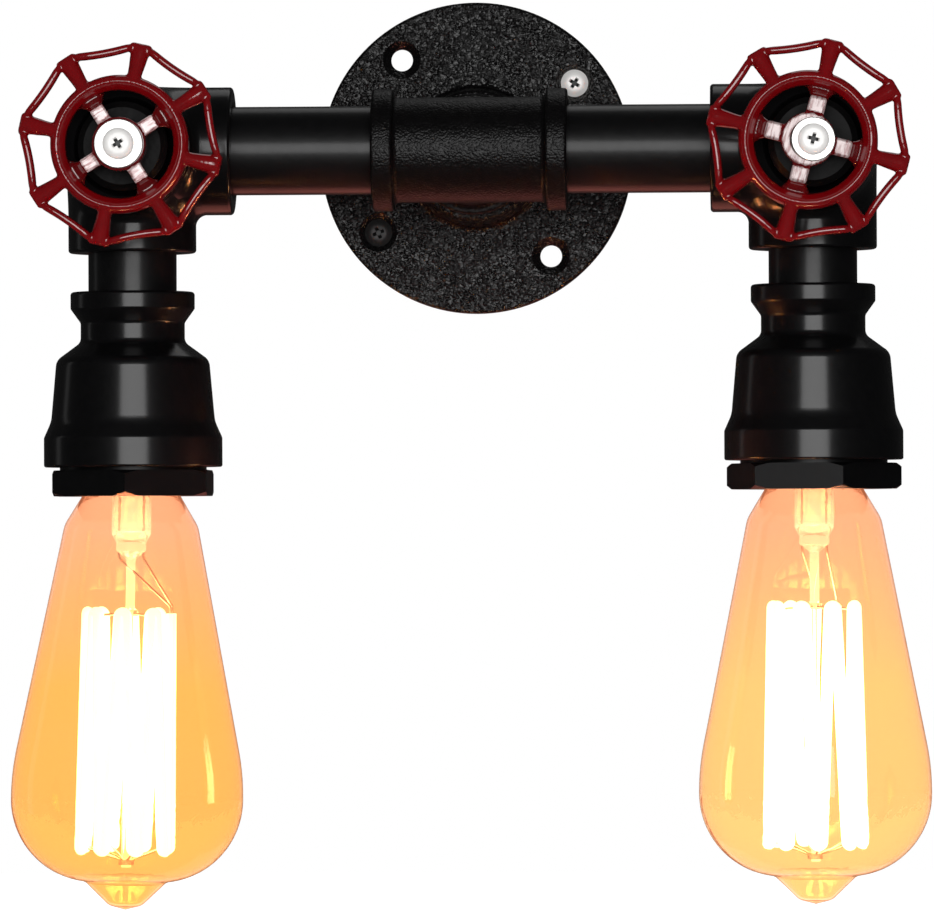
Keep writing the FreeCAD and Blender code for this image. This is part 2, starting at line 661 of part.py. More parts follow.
def handwheel():
    """The cast handwheel about +Z, with the back of its hub on the origin."""
    far = EAR_TIP_R + OVERCUT
    bore = JOURNAL_R + WHEEL_FIT
    disc = turned([
        (bore, 0), (WHEEL_HUB_R, 0, WHEEL_HUB_BACK_EDGE), (WHEEL_HUB_R, RIM_BACK), (far, RIM_BACK),
        (far, RIM_FRONT), (RIDGE_R + RIDGE_HALF, RIM_FRONT, WHEEL_CREASE),
        (RIDGE_R, RIDGE_FRONT, RIDGE_ROUND), (VALLEY_R, VALLEY_FRONT, WHEEL_CREASE),
        (SPOKE_FACET_R, SPOKE_FACET, WHEEL_CREASE), (WHEEL_HUB_R, SPOKE_FACET),
        (WHEEL_HUB_R, WHEEL_HUB_H, FINE_EDGE), (bore, WHEEL_HUB_H),
    ])
    height = WHEEL_HUB_H + 2 * OVERCUT
    under = DOWN * OVERCUT
    wheel = disc.common(wheel_outline(height).translated(under))
    openings = []
    for ear in range(EARS):
        openings.append(spun(rim_opening(height).translated(under), (ear + 0.5) * 360.0 / EARS))
    for spoke in range(INNER_SPOKES):
        openings.append(spun(hub_opening(height).translated(under), (spoke + 0.5) * 360.0 / INNER_SPOKES))
    wheel = wheel.cut(openings).removeSplitter()
    return wheel.makeFillet(WHEEL_EDGE, rim_edges(wheel))


def handwheel_set(side, seat, journal, turn, wheel_off, washer_r):
    back = PLUG_PROUD + SHOULDER_H + WHEEL_PLAY_BACK
    wheel = spun(handwheel(), turn)
    save(side + "_handwheel", aimed(wheel, seat + FRONT * back + X * wheel_off, FRONT))
    ring = washer(washer_r, WHEEL_WASHER_T)
    save(side + "_handwheel_washer", aimed(ring, seat + FRONT * journal, FRONT))
    screw = spun(pan_screw(PAN_HEAD_R, PAN_HEAD_H, WHEEL_SCREW_LENGTH + WHEEL_WASHER_T), turn)
    save(side + "_handwheel_screw", aimed(screw, seat + FRONT * (journal + WHEEL_WASHER_T), FRONT))


def drop_nipple(side, centre, reducer_top):
    start = centre + DOWN * (ELBOW_REACH - SOCKET_DEPTH + END_GAP)
    save(side + "_drop_nipple", pipe(start, reducer_top + DOWN * (SOCKET_DEPTH - END_GAP)))


def reducer(side, top):
    throat_end = SOCKET_DEPTH + THROAT_LENGTH
    bush_socket = REDUCER_LENGTH - BUSH_SOCKET_DEPTH
    room_top = REDUCER_LENGTH + BUSH_SHOW + HEX_H - LIP_H - HOLDER_H - HOLDER_ROOM_GAP
    body = turned([
        (MOUTH_R, 0), (REDUCER_BAND_R, 0, FITTING_EDGE), (REDUCER_BAND_R, REDUCER_BAND, FITTING_EDGE),
        (REDUCER_NECK_R, REDUCER_NECK_TOP, BAND_BLEND),
        (REDUCER_NECK_R, REDUCER_NECK_END, REDUCER_NECK_ROUND),
        (REDUCER_BODY_R, REDUCER_LENGTH - BODY_TOP, REDUCER_BODY_ROUND),
        (REDUCER_BELLY_R, REDUCER_LENGTH - REDUCER_BELLY_END, REDUCER_BELLY_ROUND),
        (REDUCER_MOUTH_BAND_R, REDUCER_LENGTH - REDUCER_MOUTH_BAND_TOP, REDUCER_MOUTH_BAND_ROUND),
        (REDUCER_MOUTH_BAND_R, REDUCER_LENGTH, REDUCER_FOOT_EDGE),
        (BUSH_THREAD_R + THREAD_GAP, REDUCER_LENGTH), (BUSH_THREAD_R + THREAD_GAP, bush_socket),
        (HOLDER_ROOM_R, bush_socket), (HOLDER_ROOM_R, room_top, HOLDER_ROOM_ROUND),
        (PIPE_BORE_R, throat_end, THROAT_ROUND), (PIPE_BORE_R, SOCKET_DEPTH), (SOCKET_R, SOCKET_DEPTH),
        (SOCKET_R, MOUTH_DEPTH),
    ])
    save(side + "_reducer", aimed(body, top, DOWN))


def hex_bush(side, foot, turn):
    corner_r = HEX_FLATS / 2 / math.cos(math.radians(30))
    corners = [polar(corner_r, 60.0 * index) for index in range(7)]
    hexagon = Part.Face(Part.makePolygon(corners)).extrude(Z * HEX_H)
    bevel = (corner_r - HEX_CHAMFER_R) * HEX_BEVEL_RISE
    hexagon = hexagon.common(turned([
        (0, 0), (HEX_CHAMFER_R, 0), (corner_r, bevel), (corner_r, HEX_H - bevel),
        (HEX_CHAMFER_R, HEX_H), (0, HEX_H)]))
    top = HEX_H + BUSH_SHOW + BUSH_GRIP
    neck = turned([(0, HEX_H), (BUSH_THREAD_R, HEX_H), (BUSH_THREAD_R, top - BUSH_THREAD_EDGE),
                   (BUSH_THREAD_R - BUSH_THREAD_EDGE, top), (0, top)])
    mouth_r = LIP_BORE_R + LIP_EDGE
    bore = turned([(0, -OVERCUT), (mouth_r, -OVERCUT), (mouth_r, 0), (LIP_BORE_R, LIP_EDGE),
                   (LIP_BORE_R, LIP_H), (HOLDER_SEAT_R, LIP_H), (HOLDER_SEAT_R, top + OVERCUT),
                   (0, top + OVERCUT)])
    body = spun(hexagon.fuse(neck).cut(bore), turn)
    save(side + "_hex_bush", body.translated(foot))


def wave(start, turns, middle, swing):
    """Crests and troughs of a rolled thread, as corners of an outline."""
    points = []
    for half_turn in range(2 * turns):
        crest = 1 if half_turn % 2 == 0 else -1
        height = start + half_turn * THREAD_PITCH / 2
        points.append((middle + crest * swing, height, WAVE_ROUND))
    return points


def lampholder_shell(floor):
    """The brass shell with its rolled thread, upward from the holder's mouth."""
    top = floor - SHELL_TOP_CLEAR
    turns = int((top - SHELL_FOOT) / THREAD_PITCH) - 1
    middle = SHELL_R + SHELL_WALL / 2
    line = [(middle, SHELL_FOOT)]
    line += wave(SHELL_FOOT + SHELL_PLAIN, turns, middle, SHELL_WAVE)
    line += [(middle, top)]
    return turned(walled(line, SHELL_WALL))


def lampholder(side, foot):
    """The porcelain holder that stands on the bush's lip, with its shell, contact and screws."""
    seat = foot + Z * LIP_H
    floor = HOLDER_H - HOLDER_ROOF
    room_r = SHELL_R + SHELL_WAVE + SHELL_WALL / 2 + SCREW_GAP
    body = turned([(room_r, 0), (HOLDER_R, 0, HOLDER_ROUND), (HOLDER_R, HOLDER_H, HOLDER_TOP_ROUND),
                   (0, HOLDER_H), (0, floor), (room_r, floor, HOLDER_ROUND)])
    cuts = [Part.makeCylinder(LEAD_R + LEAD_HOLE_GAP, HOLDER_ROOF, Z * (HOLDER_H - LEAD_END_DEPTH))]
    screws = []
    screw = turned([(0, -HOLDER_SCREW_LENGTH), (HOLDER_SCREW_R, -HOLDER_SCREW_LENGTH), (HOLDER_SCREW_R, 0),
                    (HOLDER_SCREW_HEAD_R, 0), (HOLDER_SCREW_HEAD_R, HOLDER_SCREW_HEAD_H, HOLDER_SCREW_ROUND),
                    (0, HOLDER_SCREW_HEAD_H)])
    slot_floor = HOLDER_SCREW_HEAD_H - HOLDER_SCREW_SLOT
    slot = Part.makeBox(2 * HOLDER_WELL_R, HOLDER_SCREW_SLOT, OVERCUT,
                        V(-HOLDER_WELL_R, -HOLDER_SCREW_SLOT / 2, slot_floor))
    for way in (-1, 1):
        at = V(0, way * HOLDER_SCREW_REACH, HOLDER_H - HOLDER_WELL_DEPTH)
        cuts.append(Part.makeCylinder(HOLDER_WELL_R, HOLDER_WELL_DEPTH + OVERCUT, at))
        cuts.append(Part.makeCylinder(HOLDER_SCREW_R + SCREW_GAP, HOLDER_TAPPED_DEPTH + OVERCUT,
                                      at + DOWN * HOLDER_TAPPED_DEPTH))
        screws.append(screw.cut(slot).translated(seat + at + Z * SEAT_GAP))
    save(side + "_lampholder_body", body.cut(cuts).translated(seat))
    save(side + "_lampholder_terminals", *screws)
    save(side + "_lampholder_shell", lampholder_shell(floor).translated(seat))

    tip = -CONTACT_TOP + CONTACT_CLEAR
    roof = LIP_H + floor - SEAT_GAP
    root, slope_top = CONTACT_ROOT
    slope_foot, end = CONTACT_TIP
    tongue = path([V(root, 0, roof), V(slope_top, 0, roof), V(slope_foot, 0, tip + CONTACT_TIP_T),
                   V(end, 0, tip + CONTACT_TIP_T), V(end, 0, tip), V(slope_foot + CONTACT_SLANT, 0, tip),
                   V(slope_top + CONTACT_SLANT, 0, roof - CONTACT_T), V(root, 0, roof - CONTACT_T)],
                  [0.0] * 8, closed=True)
    strip = Part.Face(tongue).extrude(Y * CONTACT_WIDTH).translated(Y * (-CONTACT_WIDTH / 2))
    save(side + "_lampholder_contact", strip.translated(foot))


def bulb_stem_shape():
    """The stem: a flared tube, pinched into the press, with the rod that carries both stars."""
    inner = STEM_R - STEM_WALL
    rod_end = LOWER_STAR + ROD_PAST
    return turned([
        (GLASS_TOP_R, GLASS_TOP - STEM_WALL), (GLASS_TOP_R, GLASS_TOP),
        (GLASS_TOP_R - STEM_FLANGE, GLASS_TOP), (STEM_R, STEM_FLARE, STEM_FLARE_ROUND),
        (STEM_R, STEM_TUBE_END, STEM_ROUND),
        (PRESS_R, PRESS_TOP, STEM_ROUND), (PRESS_R, PRESS_END, STEM_ROUND),
        (ROD_R, PRESS_END + ROD_TAPER, STEM_ROUND), (ROD_R, rod_end), (0, rod_end),
        (0, STEM_TUBE_END + STEM_ROUND), (inner, STEM_TUBE_END - STEM_WALL / 2, STEM_ROUND),
        (inner, STEM_FLARE - STEM_WALL / 2, STEM_FLARE_ROUND - STEM_WALL),
        (GLASS_TOP_R - STEM_FLANGE - STEM_WALL, GLASS_TOP - STEM_WALL),
    ])


def cage_corners(start_turn):
    """Where the filament's straight legs would meet, past the hairpins that they end in."""
    span = CAGE_BOTTOM - CAGE_TOP
    step = FILAMENT_TURN / (2 * HAIRPINS)
    half_chord = (CAGE_TOP_R + CAGE_BOTTOM_R) / 2 * math.sin(math.radians(step))
    past = HAIRPIN_R * span / (half_chord - 2 * HAIRPIN_R)
    slope = (CAGE_BOTTOM_R - CAGE_TOP_R) / span
    top_r = CAGE_TOP_R - slope * past
    bottom_r = CAGE_BOTTOM_R + slope * past
    corners = []
    for leg in range(2 * HAIRPINS + 1):
        angle = start_turn + leg * step
        if leg % 2:
            corners.append(polar(bottom_r, angle, CAGE_BOTTOM + past))
        else:
            corners.append(polar(top_r, angle, CAGE_TOP - past))
    return corners


def on_leg(upper, lower, height):
    """The point of a leg's line at a height."""
    share = (height - upper.z) / (lower.z - upper.z)
    return upper + (lower - upper) * share


def filament(side, corners):
    first = on_leg(corners[0], corners[1], CAGE_TOP - LEG_PAST)
    last = on_leg(corners[-1], corners[-2], CAGE_TOP - LEG_PAST)
    points = [first] + corners[1:-1] + [last]
    wire = path(points, [0.0] + [HAIRPIN_R] * (len(points) - 2) + [0.0])
    solid = tube(wire, FILAMENT_R)
    report_tube(side + " filament", wire, solid, FILAMENT_R)
    report_gap(side + " filament", wire, FILAMENT_R)
    return solid, first, last


def report_tube(name, wire, solid, radius):
    """Print how the solid's volume compares with its section times its length."""
    expected = math.pi * radius ** 2 * wire.Length
    print("%s: length %.1f, volume %.2f of %.2f" % (name, wire.Length, solid.Volume, expected))


def report_gap(name, wire, radius):
    """Print the least gap of a tube to itself, measured between points along its middle line."""
    spacing = 0.25
    cell = 3.0
    points = wire.discretize(Number=int(wire.Length / spacing))
    apart = int(math.pi * HAIRPIN_R / spacing) + 1
    cells = {}
    least = 2 * CAGE_BOTTOM_R
    for index, point in enumerate(points):
        key = tuple(int(value // cell) for value in point)
        for dx in (-1, 0, 1):
            for dy in (-1, 0, 1):
                for dz in (-1, 0, 1):
                    for other in cells.get((key[0] + dx, key[1] + dy, key[2] + dz), []):
                        if index - other > apart:
                            least = min(least, point.distanceToPoint(points[other]))
        cells.setdefault(key, []).append(index)
    print("%s: least gap to itself %.2f" % (name, least - 2 * radius))


def star(corners, leg_numbers, collar_height):
    """A collar on the rod with one straight spoke through each hairpin of that end."""
    middle = Z * collar_height
    collar = Part.makeCylinder(COLLAR_R, COLLAR_H, middle + DOWN * (COLLAR_H / 2))
    spokes = []
    for leg in leg_numbers:
        centre = bend(corners[leg - 1], corners[leg], corners[leg + 1], HAIRPIN_R)[3]
        outward = (centre - middle).normalize()
        root = middle + outward * (COLLAR_R * SPOKE_SUNK)
        spokes.append(rod(SUPPORT_R, root, centre + outward * SPOKE_PAST))
    bore = Part.makeCylinder(ROD_R + SCREW_GAP, 2 * COLLAR_H, middle + DOWN * COLLAR_H)
    return collar.fuse(spokes).cut(bore)


def lead_wire(way, end, leg_corner):
    """One wire from the cap through the stem's press to an end of the filament."""
    upward = (leg_corner - end).normalize()
    points = [V(way * LEAD_WIRE_REACH, 0, CAP_TOP), V(way * LEAD_WIRE_REACH, 0, PRESS_END + LEAD_WIRE_DROP),
              end - upward * LEAD_WIRE_TAIL, end]
    return path(points, [0.0, LEAD_WIRE_BEND, LEAD_WIRE_END_BEND, 0.0])


def bulb(side, foot, lean, filament_turn):
    """One bulb, drawn downward from the bush's lower face and then hung in place."""
    corners = cage_corners(filament_turn)
    wire_solid, first, last = filament(side, corners)
    leads = []
    holes = []
    nearest = 1 if first.x > last.x else -1
    for way, end, corner in ((nearest, first, corners[1]), (-nearest, last, corners[-2])):
        wire = lead_wire(way, end, corner)
        leads.append(tube(wire, LEAD_WIRE_R))
        holes.append(tube(wire, LEAD_WIRE_R + SCREW_GAP))
    bottoms = range(1, 2 * HAIRPINS, 2)
    tops = range(2, 2 * HAIRPINS, 2)
    button_end = CONTACT_TOP + BUTTON_T
    skin = [(CAP_SHOULDER_R, CAP_TOP), (CAP_R + CAP_WAVE, CAP_TOP + CAP_SHOULDER_DROP, CAP_ROUND)]
    skin += wave(CAP_TOP + CAP_THREAD_DROP, CAP_TURNS, CAP_R, CAP_WAVE)[1:]
    skin += [(SKIRT_R - SKIRT_FLARE[0], SKIRT_END - SKIRT_FLARE[1], CAP_ROUND),
             (SKIRT_R, SKIRT_END - SKIRT_H, CAP_ROUND), (SKIRT_R, SKIRT_END)]
    pieces = {
        "cap": [turned(walled(skin, CAP_WALL))],
        "insulator": [turned([(0, button_end), (INSULATOR_TOP_R, button_end, INSULATOR_ROUND),
                              (CAP_SHOULDER_R - CAP_WALL - INSULATOR_GAP, CAP_TOP), (0, CAP_TOP)])],
        "contact": [turned([(0, CONTACT_TOP), (BUTTON_TOP_R, CONTACT_TOP, BUTTON_ROUND),
                            (BUTTON_R, button_end), (0, button_end)])],
        "glass": [turned(walled(GLASS_LINE, GLASS_WALL))],
        "stem": [bulb_stem_shape().cut(holes)],
        "support_wires": [star(corners, tops, UPPER_STAR), star(corners, bottoms, LOWER_STAR)],
        "lead_wires": leads,
        "filament": [wire_solid],
    }
    flip = FreeCAD.Rotation(X, 180)
    tilt = FreeCAD.Rotation(Y, lean)
    pivot = foot + DOWN * LEAN_PIVOT
    for name, solids in pieces.items():
        hung = []
        for solid in solids:
            solid = solid.transformed(FreeCAD.Placement(foot, flip).toMatrix(), copy=True)
            place = FreeCAD.Placement(ORIGIN, tilt, pivot)
            hung.append(solid.transformed(place.toMatrix(), copy=True))
        save(side + "_bulb_" + name, *hung)


def leads(side, sign, centre, joint, foot):
    """The flex in the pipe, and the flex that goes on down to the lampholder."""
    arm_wire = path([joint, V(sign * LEAD_REACH, -AXIS_OUT, 0),
                     V(sign * LEAD_REACH, -(BLOCK_BACK + BLOCK_LENGTH), 0)], [0.0, TEE_BEND, 0.0])
    holder_top = foot + Z * (LIP_H + HOLDER_H - LEAD_END_DEPTH)
    drop_wire = path([joint, centre, holder_top], [0.0, ELBOW_BEND, 0.0])
    for name, wire, radius in (("arm", arm_wire, TEE_BEND), ("drop", drop_wire, ELBOW_BEND)):
        solid = tube(wire, LEAD_R)
        report_tube(side + " " + name + " lead", wire, solid, LEAD_R)
        print("  bend radius %.1f, which is %.1f diameters" % (radius, radius / (2 * LEAD_R)))
        save(side + "_" + name + "_lead", solid)


def terminal_block():
    """The block that lies in the flange nipple and joins both leads to the supply."""
    bore = PIPE_BORE_R - LOOSE_GAP
    low = -math.sqrt(bore ** 2 - (BLOCK_WIDTH / 2) ** 2)
    block = Part.makeBox(BLOCK_WIDTH, BLOCK_LENGTH, BLOCK_H,
                         V(-BLOCK_WIDTH / 2, -(BLOCK_BACK + BLOCK_LENGTH), low))
    top = low + BLOCK_H
    wells = []
    screws = []
    for way in (-1, 1):
        for share in BLOCK_SCREW_SPOTS:
            at = V(way * LEAD_REACH, -(BLOCK_BACK + BLOCK_LENGTH * share), top)
            wells.append(rod(BLOCK_SCREW_R + SCREW_GAP, at + DOWN * BLOCK_WELL_DEPTH, at + Z))
            screw_top = at + DOWN * BLOCK_SCREW_TOP
            screws.append(rod(BLOCK_SCREW_R, at + DOWN * BLOCK_SCREW_END, screw_top).cut(Part.makeBox(
                4 * BLOCK_SCREW_R, BLOCK_SLOT, OVERCUT,
                screw_top + V(-2 * BLOCK_SCREW_R, -BLOCK_SLOT / 2, -BLOCK_SLOT))))
    save("terminal_block", block.cut(wells))
    save("terminal_screws", *screws)


def arm(side, sign, arm_show, drop_show, hex_turn, wheel_turn, wheel_off, washer_r, lean, filament_turn):
    centre = V(sign * (TEE_HALF + arm_show + ELBOW_REACH), -AXIS_OUT, 0)
    joint = centre - X * (sign * (ELBOW_REACH - SOCKET_DEPTH))
    arm_pipe(side, sign, joint)
    elbow(side, sign, centre)
    seat = centre + FRONT * ELBOW_REACH
    journal = front_plug(side, seat, wheel_off)
    handwheel_set(side, seat, journal, wheel_turn, wheel_off, washer_r)
    reducer_top = centre + DOWN * (ELBOW_REACH + drop_show)
    foot = reducer_top + DOWN * (REDUCER_LENGTH + BUSH_SHOW + HEX_H)
    drop_nipple(side, centre, reducer_top)
    reducer(side, reducer_top)
    hex_bush(side, foot, hex_turn)
    lampholder(side, foot)
    bulb(side, foot, lean, filament_turn)
    leads(side, sign, centre, joint, foot)


def main():
    os.makedirs("parts", exist_ok=True)
    wall_flange()
    mounting_strap()
    flange_screws()
    earth_screw()
    flange_nipple()
    tee()
    terminal_block()
    for side, own in SIDES.items():
        arm(side, **own)


main()
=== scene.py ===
import math

import bmesh
import bpy
from mathutils import Matrix, Vector


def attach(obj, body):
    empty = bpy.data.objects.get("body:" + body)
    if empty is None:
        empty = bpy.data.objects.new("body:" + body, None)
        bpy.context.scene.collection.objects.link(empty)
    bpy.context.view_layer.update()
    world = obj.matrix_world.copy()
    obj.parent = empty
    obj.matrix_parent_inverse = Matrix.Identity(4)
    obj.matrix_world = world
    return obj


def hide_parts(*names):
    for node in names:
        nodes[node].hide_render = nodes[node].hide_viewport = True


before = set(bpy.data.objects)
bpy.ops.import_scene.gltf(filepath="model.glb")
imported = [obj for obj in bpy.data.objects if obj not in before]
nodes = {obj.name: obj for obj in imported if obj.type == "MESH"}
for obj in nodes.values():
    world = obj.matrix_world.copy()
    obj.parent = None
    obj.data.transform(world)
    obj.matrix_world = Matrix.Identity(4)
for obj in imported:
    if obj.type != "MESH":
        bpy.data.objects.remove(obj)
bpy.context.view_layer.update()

# The camera stands 2.1 m in front of the pipes, a little right of the light and below them, and looks
# slightly up and to the left. Its tilt levels the pipes as the photograph has them.
PHOTO_WIDTH = 934          # in pixels
FOCAL_LENGTH = 7557.7      # in the photograph's pixels
SENSOR_WIDTH = 36.0        # in mm

camera_data = bpy.data.cameras.new("camera")
camera_data.sensor_width = SENSOR_WIDTH
camera_data.lens = FOCAL_LENGTH / PHOTO_WIDTH * SENSOR_WIDTH
camera_data.clip_end = 60.0
camera = bpy.data.objects.new("camera", camera_data)
camera.location = (0.0810, -2.1515, -0.1085)
camera.rotation_euler = [math.radians(angle) for angle in (90.616, 0.26, 2.246)]
bpy.context.scene.collection.objects.link(camera)
bpy.context.scene.camera = camera
bpy.context.scene.view_settings.view_transform = "Standard"


# The studio is an even white surround over a pale floor. The eye sees both plain white, also through
# glass. Gloss sees them very dim, because the light hung in a dark room with one large lamp.
FLOOR_REACH = 9.0          # from the middle to each side
FLOOR_HEIGHT = -0.6


def feed(tree, made, inputs):
    """Give a node's inputs their values, or links where a value is a socket."""
    for name, value in inputs.items():
        if isinstance(value, bpy.types.NodeSocket):
            tree.links.new(value, made.inputs[name])
        else:
            made.inputs[name].default_value = value


def node(tree, kind, inputs=None, **settings):
    """Add a node with its settings and inputs."""
    made = tree.nodes.new(kind)
    for name, value in settings.items():
        setattr(made, name, value)
    feed(tree, made, inputs or {})
    return made


def sums(tree, operation, *values):
    """The result of a Math node."""
    return node(tree, "ShaderNodeMath", dict(enumerate(values)), operation=operation).outputs[0]


def new_material(name):
    """A material with its node tree, its Principled shader and its Object coordinates."""
    material = bpy.data.materials.new(name)
    material.use_nodes = True
    tree = material.node_tree
    place = node(tree, "ShaderNodeTexCoord").outputs["Object"]
    return material, tree, tree.nodes["Principled BSDF"], place


def noise(tree, place, scale, detail=2.0):
    """Noise about 0.5, with this many waves to the metre."""
    return node(tree, "ShaderNodeTexNoise", {
        "Vector": place, "Scale": scale, "Detail": detail}).outputs["Fac"]


def varied(tree, cloud, middle, spread):
    """A value that noise spreads about its middle."""
    return sums(tree, "MULTIPLY_ADD", cloud, spread, middle - spread / 2)


def by_ray(tree, to_eye, to_gloss, as_light):
    """One number for the camera and glass, one for gloss, and one for all other light."""
    path = node(tree, "ShaderNodeLightPath").outputs
    eye = sums(tree, "MAXIMUM", path["Is Camera Ray"], path["Is Transmission Ray"])
    gloss = sums(tree, "MULTIPLY", path["Is Glossy Ray"], sums(tree, "SUBTRACT", 1.0, eye))
    level = sums(tree, "MULTIPLY_ADD", gloss, to_gloss - as_light, as_light)
    return sums(tree, "MULTIPLY_ADD", eye, sums(tree, "SUBTRACT", to_eye, level), level)


world = bpy.data.worlds.new("surround")
world.use_nodes = True
bpy.context.scene.world = world
sky = world.node_tree
feed(sky, sky.nodes["Background"], {
    "Color": (1.0, 1.0, 1.0, 1.0),
    "Strength": by_ray(sky, to_eye=1.0, to_gloss=0.02, as_light=0.62),
})

floor_mesh = bpy.data.meshes.new("floor")
floor_mesh.from_pydata([(x * FLOOR_REACH, y * FLOOR_REACH, FLOOR_HEIGHT)
                        for x, y in ((-1, -1), (1, -1), (1, 1), (-1, 1))], [], [(0, 1, 2, 3)])
floor = bpy.data.objects.new("floor", floor_mesh)
bpy.context.scene.collection.objects.link(floor)
floor_paint, tree, shader, place = new_material("floor_paint")
shade = by_ray(tree, to_eye=0.93, to_gloss=0.03, as_light=0.93)
feed(tree, shader, {
    "Base Color": node(tree, "ShaderNodeCombineColor", {0: shade, 1: shade, 2: shade}).outputs[0],
    "Roughness": varied(tree, noise(tree, place, scale=3.0), middle=0.80, spread=0.04),
    "Specular IOR Level": 0.0,
    "Emission Color": (1.0, 1.0, 1.0, 1.0),
    "Emission Strength": by_ray(tree, to_eye=0.55, to_gloss=0.0, as_light=0.0),
})
floor_mesh.materials.append(floor_paint)


# One wide soft box stands just above the camera, so that round parts show a soft highlight down their
# middle. A dim tall one, behind on the left, lines their left edges, and a third lights the back. A red
# one from below stands for the bulbs' light that comes back from the table they were photographed over.
AIM = Vector((0.0, -0.05, 0.0))


def soft_box(name, place, size, radiance, colour=(1.0, 1.0, 1.0)):
    """A rectangular area lamp that faces the light and isn't seen itself."""
    lamp = bpy.data.lights.new(name, "AREA")
    lamp.shape = "RECTANGLE"
    lamp.size, lamp.size_y = size
    lamp.energy = radiance * math.pi * size[0] * size[1]
    lamp.color = colour
    holder = bpy.data.objects.new(name, lamp)
    holder.location = place
    holder.rotation_euler = (AIM - Vector(place)).to_track_quat("-Z", "Y").to_euler()
    holder.visible_camera = False
    holder.visible_transmission = False
    bpy.context.scene.collection.objects.link(holder)


soft_box("front_box", place=(0.11, -2.32, 0.16), size=(1.5, 1.0), radiance=4.2)
soft_box("edge_box", place=(-2.0, 0.55, 0.0), size=(0.3, 1.6), radiance=0.30)
soft_box("back_box", place=(0.3, 1.7, 2.2), size=(1.4, 1.4), radiance=0.5)
soft_box("glow_box", place=(0.0, 0.32, -0.55), size=(0.50, 0.50), radiance=0.9, colour=(1.0, 0.28, 0.22))


# The strap behind the flange and the washer on it are zinc-plated steel, and the earth screw is brass. The
# strap is screwed to the wall, and the flange is screwed to it.
def coat(mesh, material):
    """Give a mesh one material in place of those it has."""
    mesh.materials.clear()
    mesh.materials.append(material)


def dress(material, *names):
    """Give CAD nodes their finished material."""
    for name in names:
        coat(nodes[name].data, material)


def bump(tree, height, strength, distance):
    """A shader's normal, from a height."""
    return node(tree, "ShaderNodeBump", {
        "Height": height, "Strength": strength, "Distance": distance}).outputs[0]


def plated(name, colour, roughness):
    """Plated or bare metal, clouded by handling."""
    material, tree, shader, place = new_material(name)
    cloud = noise(tree, place, scale=500.0)
    feed(tree, shader, {
        "Base Color": colour,
        "Metallic": 1.0,
        "Roughness": varied(tree, cloud, roughness, spread=0.2),
        "Normal": bump(tree, cloud, strength=0.1, distance=0.0002),
    })
    return material


zinc = plated("zinc_plate", (0.82, 0.82, 0.80, 1.0), roughness=0.40)
brass = plated("brass", (0.78, 0.56, 0.22, 1.0), roughness=0.28)
dress(zinc, "mounting_strap", "earth_washer")
dress(brass, "earth_screw")


# The flange and the tee are malleable iron, cast in coarse sand and dipped in satin black paint. The
# paint follows every grain, so they sparkle where the lamp is near their highlight.
def two_tone(tree, factor, first, second):
    """A colour that goes from the first to the second as its factor goes from 0 to 1."""
    return node(tree, "ShaderNodeMix", {"Factor": factor, "A": first, "B": second},
                data_type="RGBA").outputs["Result"]


def cast_black(name, grain, depth, roughness, ior=1.5):
    """Black paint over sand-cast iron: grain is the size of one, depth the height of its bumps, in metres."""
    material, tree, shader, place = new_material(name)
    sand = node(tree, "ShaderNodeTexVoronoi", {"Vector": place, "Scale": 1.0 / grain, "Smoothness": 0.35},
                feature="SMOOTH_F1").outputs["Distance"]
    lumps = noise(tree, place, scale=0.3 / grain, detail=3.0)
    feed(tree, shader, {
        "Base Color": two_tone(tree, lumps, (0.0012, 0.0011, 0.0013, 1.0), (0.0034, 0.0029, 0.0031, 1.0)),
        "Roughness": varied(tree, lumps, roughness, spread=0.16),
        "IOR": ior,
        "Normal": bump(tree, sums(tree, "SUBTRACT", lumps, sand), strength=1.0, distance=depth),
    })
    return material


dress(cast_black("sand_cast_black", grain=0.0008, depth=0.00036, roughness=0.28), "wall_flange")
dress(cast_black("tee_black", grain=0.0006, depth=0.00014, roughness=0.34, ior=1.36), "tee")


# Two countersunk screws hold the flange, in the upper right and the lower left hole. The lower one is
# painted nearly black, as painted shade. Painted shade also darkens their cross recesses.
FLANGE_SCREWS = ((0.0281, 0.0212), (-0.0281, -0.0212))     # their axes in x and z
RECESS_REACH = 0.0023                                      # of a cross, from the screw's axis


def split(tree, vector):
    """The parts X, Y and Z of a vector."""
    return node(tree, "ShaderNodeSeparateXYZ", {0: vector}).outputs


def squared_reach(tree, x, z):
    """How far a place lies from an axis along y, squared."""
    return sums(tree, "ADD", sums(tree, "MULTIPLY", x, x), sums(tree, "MULTIPLY", z, z))


def screw_steel(name, axes, recess, recess_shade, shaded_left=False):
    """Dull zinc, with painted shade in the cross recesses, and over the left screw when asked: the screws'
    axes in x and z, and the y past which a recess lies.
    """
    material, tree, shader, place = new_material(name)
    at = split(tree, place)
    crosses = 0.0
    for x, z in axes:
        reach = squared_reach(tree, sums(tree, "SUBTRACT", at["X"], x), sums(tree, "SUBTRACT", at["Z"], z))
        crosses = sums(tree, "MAXIMUM", crosses, sums(tree, "LESS_THAN", reach, RECESS_REACH ** 2))
    # painted shade: the cross recesses are made dark
    dark = sums(tree, "MULTIPLY", sums(tree, "GREATER_THAN", at["Y"], recess), crosses)
    # painted shade: the screw left of the middle is made nearly black
    if shaded_left:
        dark = sums(tree, "MAXIMUM", dark, sums(tree, "LESS_THAN", at["X"], 0.0))
    feed(tree, shader, {
        "Base Color": two_tone(tree, dark, (0.90, 0.89, 0.87, 1.0), (recess_shade, recess_shade, recess_shade, 1.0)),
        "Roughness": varied(tree, noise(tree, place, scale=600.0, detail=3.0), middle=0.455, spread=0.25),
        "Metallic": sums(tree, "MULTIPLY_ADD", dark, -0.2, 0.2),
    })
    return material


dress(screw_steel("flange_screw_steel", FLANGE_SCREWS, recess=-0.0054, recess_shade=0.012, shaded_left=True),
      "flange_screws")


# The pipes are drawn steel tube under the same black paint, smooth and a little shinier: the short one
# between flange and tee, the two arms, and the short ones under the elbows.
SIDES = ("left", "right")


